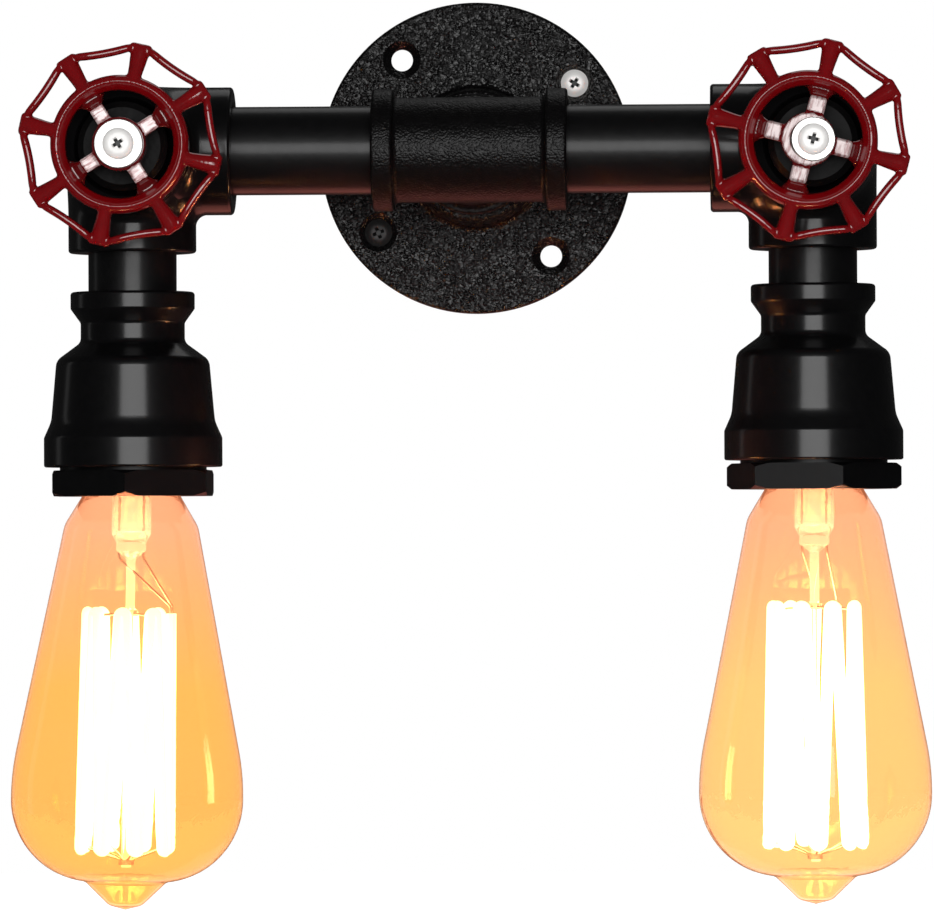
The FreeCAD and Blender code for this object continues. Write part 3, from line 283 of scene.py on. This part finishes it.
def both(name):
    """The names of a left and a right node."""
    return [side + "_" + name for side in SIDES]


def smooth_black(name, roughness, coat_ior, ior=1.4, distance=0.0002):
    """Black paint over smooth metal, with a faint orange peel: its gloss is a sharp and a soft layer."""
    material, tree, shader, place = new_material(name)
    peel = noise(tree, place, scale=420.0)
    feed(tree, shader, {
        "Base Color": two_tone(tree, peel, (0.0012, 0.0012, 0.0016, 1.0), (0.0026, 0.0024, 0.0028, 1.0)),
        "Roughness": varied(tree, peel, middle=0.45, spread=0.1),
        "IOR": ior,
        "Coat Weight": 1.0,
        "Coat Roughness": roughness,
        "Coat IOR": coat_ior,
        "Normal": bump(tree, peel, strength=0.3, distance=distance),
    })
    return material


dress(smooth_black("pipe_black", roughness=0.21, coat_ior=1.28),
      "flange_nipple", *both("arm_pipe"), *both("drop_nipple"))


# Inside the tee and the pipes run rubber-skinned leads, joined in a small block of pale plastic that has
# brass screws.
def moulded(name, colour, roughness, scale):
    """Rubber, plastic or porcelain, with a little cloudiness in its gloss and its colour."""
    material, tree, shader, place = new_material(name)
    cloud = noise(tree, place, scale, detail=3.0)
    dark = [c * 0.9 for c in colour] + [1.0]
    pale = [min(c * 1.1, 1.0) for c in colour] + [1.0]
    feed(tree, shader, {
        "Base Color": two_tone(tree, cloud, dark, pale),
        "Roughness": varied(tree, cloud, roughness, spread=0.2),
    })
    return material


dress(moulded("lead_rubber", (0.03, 0.03, 0.03), roughness=0.7, scale=600.0),
      *both("arm_lead"), *both("drop_lead"))
dress(moulded("block_plastic", (0.8, 0.79, 0.74), roughness=0.5, scale=300.0), "terminal_block")
dress(brass, "terminal_screws")


# The elbows, the plugs in their forward mouths and the reducers are finer castings than the tee, under
# the same paint. The elbows' forward mouths were sawn and tapped, and the paint is dull there.
MOUTH_FACE = -0.0796       # just behind the faces of the forward mouths, in y


def dull_mouth(material):
    """Take the gloss off what lies in front of the mouths' faces."""
    tree = material.node_tree
    place = node(tree, "ShaderNodeTexCoord").outputs["Object"]
    gloss = sums(tree, "GREATER_THAN", split(tree, place)["Y"], MOUTH_FACE)
    feed(tree, tree.nodes["Principled BSDF"], {
        "Coat Weight": gloss,
        "Roughness": sums(tree, "MULTIPLY_ADD", gloss, -0.45, 0.90),
    })
    return material


FITTING_PAINT = {"roughness": 0.18, "coat_ior": 1.42, "ior": 1.25, "distance": 0.0003}
dress(smooth_black("fitting_black", **FITTING_PAINT), *both("reducer"))
dress(dull_mouth(smooth_black("elbow_black", **FITTING_PAINT)), *both("elbow"))
dress(cast_black("plug_black", grain=0.0016, depth=0.00010, roughness=0.5, ior=1.25), *both("front_plug"))


# Each handwheel is one iron casting dipped in glossy dark red enamel: a hub on four spokes, a ridged ring,
# eight finger-like ribs that slope back to the ears, and a thin scalloped rim. Where the hub was faced in
# the lathe, four flats beside it, and on the right wheel the hub's own face, are bare and scratched.

# Of each wheel: its axis in x; its turn in degrees; half a spoke's width in mm; where the bare flat of a
# spoke starts and ends, and half its width; how pale the steel is; and how far out the hub's face is bare.
WHEELS = {
    "left": {"axis": -0.0943, "turn": 32.5, "spoke": 2.1, "flat": (0.0074, 0.0116, 0.0022),
             "steel": 0.84, "faced": 0.0},
    "right": {"axis": 0.0937, "turn": 75.4, "spoke": 2.5, "flat": (0.0078, 0.0121, 0.0026),
              "steel": 0.55, "faced": 0.0071},
}
WHEEL_BACK = -0.0880       # the back of the hub, in y
FLATS_DEPTH = -0.0948      # bare steel lies in front of this, in y
SHADE_REACH = 0.0150        # inside the ring, where the enamel is darkened as painted shade

# In mm from the wheel's axis and from the back of its hub, unless it says otherwise.
HUB = ((4.75, 0.0), (6.8, 0.0), (7.4, 0.6), (7.4, 7.5), (7.1, 7.8), (4.75, 7.8))
HUB_REACH = 7.6
RING = ((14.75, 2.5), (14.75, 5.1), (15.5, 6.0), (16.5, 7.1), (17.2, 7.45), (17.9, 7.1), (18.6, 6.1),
        (19.0, 5.2), (19.0, 2.5))
RIM_BACK = 2.5             # ring, fingers and rim end at this height
EAR_REACH, EAR_RISE = 27.1, 2.9                            # of the rim at an ear's corners
SCALLOP_REACH, SCALLOP_RISE = 25.2, 3.5                    # of the rim halfway between two ears
EAR_STEP = 45.0            # from ear to ear, in degrees
EAR_HALF = 4.4             # from an ear's middle to its corner, in degrees
VOXEL = 0.00030            # of the skin that joins it all, in m


def ramp(tree, value, start, end, low=0.0, high=1.0):
    """Go from low to high as the value goes from start to end."""
    return node(tree, "ShaderNodeMapRange", {"Value": value, "From Min": start, "From Max": end,
                                             "To Min": low, "To Max": high}).outputs[0]


def bar_tree():
    """Bars round the Z axis: one tapered bar from start through middle to end, repeated by count."""
    tree = bpy.data.node_groups.new("wheel_bars", "GeometryNodeTree")
    tree.interface.new_socket("Geometry", in_out="OUTPUT", socket_type="NodeSocketGeometry")
    for name, kind in (("Count", "Int"), ("Start", "Vector"), ("Middle", "Vector"), ("End", "Vector"),
                       ("Start half width", "Float"), ("End half width", "Float"), ("Height ratio", "Float"),
                       ("Corner", "Float"), ("Material", "Material")):
        tree.interface.new_socket(name, in_out="INPUT", socket_type="NodeSocket" + kind)
    sizes = tree.nodes.new("NodeGroupInput").outputs
    line = node(tree, "GeometryNodeCurveQuadraticBezier", {
        "Resolution": 28, "Start": sizes["Start"], "Middle": sizes["Middle"], "End": sizes["End"]})
    line = node(tree, "GeometryNodeSetCurveNormal", {"Curve": line.outputs[0]}, mode="Z_UP")
    along = node(tree, "GeometryNodeSplineParameter").outputs["Factor"]
    width = ramp(tree, sums(tree, "POWER", along, 2.0), 0.0, 1.0,
                 sizes["Start half width"], sizes["End half width"])
    # a bar keeps its width nearly to its ends, and is rounded off there
    off_middle = sums(tree, "ABSOLUTE", sums(tree, "MULTIPLY_ADD", along, 2.0, -1.0))
    ends = sums(tree, "SQRT", sums(tree, "SUBTRACT", 1.0, sums(tree, "POWER", off_middle, 10.0)))
    section = node(tree, "GeometryNodeCurvePrimitiveQuadrilateral", {
        "Width": 2.0, "Height": sums(tree, "MULTIPLY", sizes["Height ratio"], 2.0)})
    section = node(tree, "GeometryNodeFilletCurve", {
        "Curve": section.outputs[0], "Count": 5, "Radius": sizes["Corner"], "Limit Radius": True},
        mode="POLY")
    bar = node(tree, "GeometryNodeCurveToMesh", {
        "Curve": line.outputs[0], "Profile Curve": section.outputs[0],
        "Scale": sums(tree, "MULTIPLY", width, ends), "Fill Caps": True})
    step = sums(tree, "DIVIDE", math.tau, sizes["Count"])
    turn = sums(tree, "MULTIPLY", node(tree, "GeometryNodeInputIndex").outputs[0], step)
    spots = node(tree, "GeometryNodePoints", {"Count": sizes["Count"]})
    bars = node(tree, "GeometryNodeInstanceOnPoints", {
        "Points": spots.outputs[0], "Instance": bar.outputs[0],
        "Rotation": node(tree, "ShaderNodeCombineXYZ", {"Z": turn}).outputs[0]})
    bars = node(tree, "GeometryNodeRealizeInstances", {"Geometry": bars.outputs[0]})
    bars = node(tree, "GeometryNodeSetMaterial", {"Geometry": bars.outputs[0], "Material": sizes["Material"]})
    tree.links.new(bars.outputs[0], tree.nodes.new("NodeGroupOutput").inputs[0])
    return tree


def holder_of(name, mesh):
    """An object in the scene that holds a mesh."""
    obj = bpy.data.objects.new(name, mesh)
    bpy.context.scene.collection.objects.link(obj)
    return obj


def settled(obj):
    """The mesh that an object's modifiers give, with the object itself removed."""
    mesh = bpy.data.meshes.new_from_object(obj.evaluated_get(bpy.context.evaluated_depsgraph_get()))
    bpy.data.objects.remove(obj)
    return mesh


def metres(place):
    """A place in mm, in metres."""
    return [value / 1000 for value in place]


def bars(tree, material, count, start, end, halves, height, corner, middle=None):
    """Bars of the wheel, with their course, half widths and half height in mm, as a mesh."""
    middle = middle or [(a + b) / 2 for a, b in zip(start, end)]
    sizes = {"Count": count, "Start": metres(start), "Middle": metres(middle), "End": metres(end),
             "Start half width": halves[0] / 1000, "End half width": halves[1] / 1000,
             "Height ratio": height / halves[0], "Corner": corner, "Material": material}
    obj = holder_of("wheel_bars", bpy.data.meshes.new("wheel_bars"))
    maker = obj.modifiers.new("maker", "NODES")
    maker.node_group = tree
    for item in tree.interface.items_tree:
        if item.in_out == "INPUT":
            maker[item.identifier] = sizes[item.name]
    return settled(obj)


def turned_ring(metal, outline, steps=144):
    """Add a ring to a mesh: an outline of radius and height in mm, turned about the Z axis."""
    rounds = []
    for step in range(steps):
        angle = math.tau * step / steps
        rounds.append([metal.verts.new((r / 1000 * math.cos(angle), r / 1000 * math.sin(angle), h / 1000))
                       for r, h in outline])
    for step in range(steps):
        here, there = rounds[step], rounds[(step + 1) % steps]
        for corner in range(len(outline)):
            after = (corner + 1) % len(outline)
            metal.faces.new((here[corner], there[corner], there[after], here[after]))


def rim_point(reach, degrees, height):
    """A place on the rim, this far round from the middle of an ear."""
    angle = math.radians(degrees)
    return math.cos(angle) * reach, math.sin(angle) * reach, height


def bare_steel(tree, place, wheel, own, radius):
    """Where the enamel was faced off: 1 on the flats of the spokes and on a faced hub, 0 elsewhere."""
    stray = varied(tree, noise(tree, place, scale=900.0), middle=0.0, spread=0.0010)
    wide, high = (sums(tree, "ABSOLUTE", own[axis]) for axis in "XZ")
    out = sums(tree, "ADD", sums(tree, "MAXIMUM", wide, high), stray)
    across = sums(tree, "ADD", sums(tree, "MINIMUM", wide, high), stray)
    start, end, half = wheel["flat"]
    bare = sums(tree, "MULTIPLY", sums(tree, "GREATER_THAN", out, start),
                sums(tree, "MULTIPLY", sums(tree, "LESS_THAN", out, end),
                     sums(tree, "LESS_THAN", across, half)))
    if wheel["faced"]:
        faced = sums(tree, "LESS_THAN", sums(tree, "ADD", radius, stray), wheel["faced"])
        bare = sums(tree, "MAXIMUM", bare, faced)
    return sums(tree, "MULTIPLY", bare, sums(tree, "LESS_THAN", own["Y"], FLATS_DEPTH))


def red_enamel(side):
    """Enamel with bare flats, found from the wheel's own axis and turn."""
    wheel = WHEELS[side]
    material, tree, shader, place = new_material(side + "_red_enamel")
    unturned = node(tree, "ShaderNodeMapping", {
        "Vector": place, "Location": (wheel["axis"], 0.0, 0.0),
        "Rotation": (0.0, -math.radians(wheel["turn"]), 0.0)}, vector_type="TEXTURE").outputs[0]
    own = split(tree, unturned)
    radius = sums(tree, "SQRT", squared_reach(tree, own["X"], own["Z"]))
    bare = bare_steel(tree, place, wheel, own, radius)

    flow = noise(tree, place, scale=260.0)
    # painted shade darkens the enamel inside the ring; the flow noise is the enamel's own uneven tone
    painted_shade = sums(tree, "LESS_THAN", radius, SHADE_REACH)
    flow_and_shade = sums(tree, "MULTIPLY_ADD", flow, 0.5, sums(tree, "MULTIPLY", painted_shade, 0.45))
    enamel = two_tone(tree, flow_and_shade, (0.190, 0.0012, 0.0030, 1.0), (0.062, 0.0008, 0.0014, 1.0))

    along = node(tree, "ShaderNodeMapping", {"Vector": unturned, "Rotation": (0.0, 0.5, 0.0),
                                             "Scale": (260.0, 260.0, 1500.0)}).outputs[0]
    scratch = ramp(tree, noise(tree, along, scale=1.0, detail=3.0), 0.48, 0.62)
    pale = wheel["steel"]
    steel = two_tone(tree, scratch, (pale, 0.80 * pale, 0.79 * pale, 1.0),
                     (0.5 * pale, 0.22 * pale, 0.22 * pale, 1.0))
    drips = sums(tree, "MULTIPLY_ADD", sums(tree, "MULTIPLY", scratch, bare), -0.3, flow)
    feed(tree, shader, {
        "Base Color": two_tone(tree, bare, enamel, steel),
        "Metallic": sums(tree, "MULTIPLY", bare, 0.5),
        "Roughness": sums(tree, "MULTIPLY_ADD", bare, 0.30, varied(tree, flow, middle=0.16, spread=0.08)),
        "Coat Weight": 1.0,
        "Coat Roughness": 0.08,
        "Coat IOR": 1.6,
        "Normal": bump(tree, drips, strength=0.5, distance=0.00025),
    })
    return material


def wheel_casting(wheel, enamel):
    """A bmesh of a wheel's bars and turned rings, which still cut through each other, in its place."""
    corner = rim_point(EAR_REACH, EAR_HALF, EAR_RISE)
    across = rim_point(EAR_REACH, EAR_STEP - EAR_HALF, EAR_RISE)
    scallop = rim_point(SCALLOP_REACH, EAR_STEP / 2, SCALLOP_RISE)
    bend = [2 * p - (a + b) / 2 for p, a, b in zip(scallop, corner, across)]
    spoke = wheel["spoke"]
    courses = (
        # the spokes: a level part beside the hub, and a foot that widens and slopes down into the ring
        {"count": 4, "start": (5.5, 0, 4.8), "end": (12.5, 0, 4.8), "halves": (spoke, spoke),
         "height": 2.4, "corner": 0.25},
        {"count": 4, "start": (11.2, 0, 5.9), "end": (16.6, 0, 1.2), "halves": (spoke, 7.6),
         "height": 1.0, "corner": 0.8},
        # the fingers from the ring to the ears
        {"count": 8, "start": (16.0, 0, 5.7), "end": (27.6, 0, 1.2), "halves": (1.85, 3.2),
         "height": 1.9, "corner": 1.0},
        # the rim between two ears, and across an ear
        {"count": 8, "start": corner, "middle": bend, "end": across, "halves": (1.1, 1.1),
         "height": 1.7, "corner": 1.0},
        {"count": 8, "start": (27.0, -3.1, 2.3), "end": (27.0, 3.1, 2.3), "halves": (1.25, 1.25),
         "height": 1.7, "corner": 1.0},
    )
    metal = bmesh.new()
    for course in courses:
        part = bars(wheel_bars, enamel, **course)
        metal.from_mesh(part)
        bpy.data.meshes.remove(part)
    for outline in (HUB, RING):
        turned_ring(metal, outline)
    for vertex in metal.verts:
        if math.hypot(vertex.co.x, vertex.co.y) > HUB_REACH / 1000:
            vertex.co.z = max(vertex.co.z, RIM_BACK / 1000)
    bmesh.ops.recalc_face_normals(metal, faces=metal.faces)
    bmesh.ops.transform(metal, verts=metal.verts, space=Matrix(), matrix=(
        Matrix.Translation((wheel["axis"], WHEEL_BACK, 0)) @ Matrix.Rotation(math.radians(90), 4, "X")
        @ Matrix.Rotation(math.radians(wheel["turn"]), 4, "Z")))
    return metal


def one_skin(metal, name):
    """One smooth closed mesh over all that a bmesh holds. The bmesh is freed."""
    rough = bpy.data.meshes.new(name)
    metal.to_mesh(rough)
    metal.free()
    blank = holder_of(name, rough)
    skin = blank.modifiers.new("skin", "REMESH")
    skin.mode = "VOXEL"
    skin.voxel_size = VOXEL
    soften = blank.modifiers.new("soften", "SMOOTH")
    soften.factor = 0.5
    soften.iterations = 9
    mesh = settled(blank)
    mesh.shade_smooth()
    return mesh


wheel_bars = bar_tree()
for side in SIDES:
    enamel = red_enamel(side)
    mesh = one_skin(wheel_casting(WHEELS[side], enamel), side + "_blank")
    coat(mesh, enamel)
    wheel = holder_of(side + "_wheel_casting", mesh)
    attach(wheel, side + "_wheel")
    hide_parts(side + "_handwheel")


# A zinc-plated washer and a pan-head screw with a cross recess hold each wheel on its plug. The right
# wheel sits 1.4 mm beside its screw, as the photograph shows it.
WHEEL_SCREWS = ((-0.0943, 0.0), (0.0951, 0.0))             # their axes in x and z
dress(zinc, *both("handwheel_washer"))
# Painted shade darkens the cross recesses of these screws.
dress(screw_steel("wheel_screw_zinc", WHEEL_SCREWS, recess=-0.0986, recess_shade=0.065), *both("handwheel_screw"))


# The bushes are hexagon bar, turned and painted, with their flats as they were rolled. Each is screwed up
# into its reducer and carries the lampholder on a lip inside.
dress(smooth_black("bush_black", roughness=0.28, coat_ior=1.22, ior=1.3), *both("hex_bush"))


# The lampholders are glazed porcelain with a brass screw shell, a brass tongue for the middle contact and
# two brass terminals. The reducers hide them.
dress(moulded("porcelain", (0.85, 0.84, 0.8), roughness=0.2, scale=200.0), *both("lampholder_body"))
dress(brass, *both("lampholder_shell"), *both("lampholder_contact"), *both("lampholder_terminals"))


# Each bulb has a rolled metal screw cap, with black glass under it to keep its two poles apart, and a
# button of the same metal as its middle contact.
dress(plated("cap_plate", (0.78, 0.66, 0.4, 1.0), roughness=0.3), *both("bulb_cap"), *both("bulb_contact"))
dress(moulded("cap_glass", (0.01, 0.01, 0.012), roughness=0.25, scale=300.0), *both("bulb_insulator"))


# The envelope is thin blown glass with an amber coating inside, paler at the shoulders and in the right
# bulb. The coating glows a little with the light that it scatters, and lets the rest through.
AMBER = {"left": (1.0, 0.63, 0.26, 1.0), "right": (1.0, 0.71, 0.39, 1.0)}
SHOULDER_AMBER = (0.87, 0.60, 0.44, 1.0)
BELLY, SHOULDER = -0.150, -0.105                           # heights from where to where it changes


def lets_lamps_through(tree, shader, tint):
    """Make a glass pass the lamps' light, coloured by its tint."""
    through = node(tree, "ShaderNodeBsdfTransparent", {"Color": tint})
    shadow = node(tree, "ShaderNodeLightPath").outputs["Is Shadow Ray"]
    either = node(tree, "ShaderNodeMixShader", {0: shadow, 1: shader.outputs[0], 2: through.outputs[0]})
    tree.links.new(either.outputs[0], tree.nodes["Material Output"].inputs["Surface"])


def amber_glass(side):
    """Coated glass, with the amber of its belly going over into that of its shoulders."""
    material, tree, shader, place = new_material(side + "_amber_glass")
    upper = ramp(tree, split(tree, place)["Z"], BELLY, SHOULDER)
    shoulder = sums(tree, "ADD", upper, varied(tree, noise(tree, place, scale=60.0), middle=0.0, spread=0.3))
    feed(tree, shader, {
        "Base Color": two_tone(tree, shoulder, AMBER[side], SHOULDER_AMBER),
        "Roughness": 0.0,
        "IOR": 1.45,
        "Transmission Weight": 1.0,
        "Emission Color": (1.0, 0.34, 0.16, 1.0),
        "Emission Strength": 0.14,
    })
    lets_lamps_through(tree, shader, (1.0, 0.68, 0.75, 1.0))
    return material


for side in SIDES:
    dress(amber_glass(side), side + "_bulb_glass")


# The stem is clear glass, pinched round two lead wires, and the filament's light shows in it. Its rod
# carries two stars of fine wire that hold the filament.
FILAMENT_TOP, NECK = -0.130, -0.095                        # heights where it is brightest and dimmest


def clear_glass():
    """Rippled clear glass that is brightest near the filament."""
    material, tree, shader, place = new_material("stem_glass")
    feed(tree, shader, {
        "Base Color": (0.98, 0.96, 0.92, 1.0),
        "Roughness": 0.03,
        "IOR": 1.5,
        "Transmission Weight": 1.0,
        "Emission Color": (1.0, 0.86, 0.55, 1.0),
        "Emission Strength": ramp(tree, split(tree, place)["Z"], FILAMENT_TOP, NECK, low=0.7, high=0.08),
        "Normal": bump(tree, noise(tree, place, scale=350.0), strength=0.4, distance=0.0004),
    })
    lets_lamps_through(tree, shader, (0.95, 0.93, 0.9, 1.0))
    return material


dress(clear_glass(), *both("bulb_stem"))
dress(plated("support_wire", (0.35, 0.32, 0.28, 1.0), roughness=0.4),
      *both("bulb_support_wires"), *both("bulb_lead_wires"))


# The filament is one long coil in eight hairpins, white hot. Its glow makes it look several times as thick
# as its wire, and this piece has that thickness.
GLOW_SWELL = 0.00135       # added all round the wire
AS_LAMP = 30.0             # how brightly it lights the fittings
TO_EYE = 4.5               # seen directly, also through glass
OWN_MIRROR = 0.5           # mirrored in its own bulb
OTHER_MIRROR = 12.0        # mirrored in the other bulb
HOT, COOLER = -0.148, -0.128                               # heights of full heat and of the duller top


def white_hot():
    """White to the eye and brighter as a lamp. Mirrored in the other bulb it is bright, in its own faint."""
    material, tree, shader, place = new_material("filament_glow")
    heat = ramp(tree, split(tree, place)["Z"], HOT, COOLER, low=1.0, high=0.6)
    path = node(tree, "ShaderNodeLightPath").outputs
    seen = sums(tree, "MAXIMUM", path["Is Camera Ray"],
                sums(tree, "MAXIMUM", path["Is Transmission Ray"], path["Is Singular Ray"]))
    mirrored = sums(tree, "MULTIPLY", seen, sums(tree, "GREATER_THAN", path["Glossy Depth"], 0.5))
    across = sums(tree, "MULTIPLY", mirrored, sums(tree, "MULTIPLY", path["Is Transmission Ray"],
                                                   sums(tree, "LESS_THAN", path["Transmission Depth"], 2.5)))
    direct = sums(tree, "SUBTRACT", seen, mirrored)
    level = AS_LAMP
    for share, more in ((seen, OWN_MIRROR - AS_LAMP), (direct, TO_EYE - OWN_MIRROR),
                        (across, OTHER_MIRROR - OWN_MIRROR)):
        level = sums(tree, "MULTIPLY_ADD", share, more, level)
    feed(tree, shader, {
        "Base Color": (1.0, 0.8, 0.4, 1.0),
        "Roughness": 0.6,
        "Emission Color": two_tone(tree, sums(tree, "MAXIMUM", direct, across),
                                   (1.0, 0.44, 0.34, 1.0), (1.0, 0.90, 0.80, 1.0)),
        "Emission Strength": sums(tree, "MULTIPLY", heat, level),
    })
    return material


glow = white_hot()
for side in SIDES:
    coil = bmesh.new()
    coil.from_mesh(nodes[side + "_bulb_filament"].data)
    bmesh.ops.remove_doubles(coil, verts=coil.verts, dist=1e-6)
    coil.normal_update()
    for vertex in coil.verts:
        vertex.co += vertex.normal * GLOW_SWELL
    mesh = bpy.data.meshes.new(side + "_glowing_filament")
    coil.to_mesh(mesh)
    coil.free()
    coat(mesh, glow)
    filament = holder_of(side + "_glowing_filament", mesh)
    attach(filament, side + "_bulb")
    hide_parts(side + "_bulb_filament")
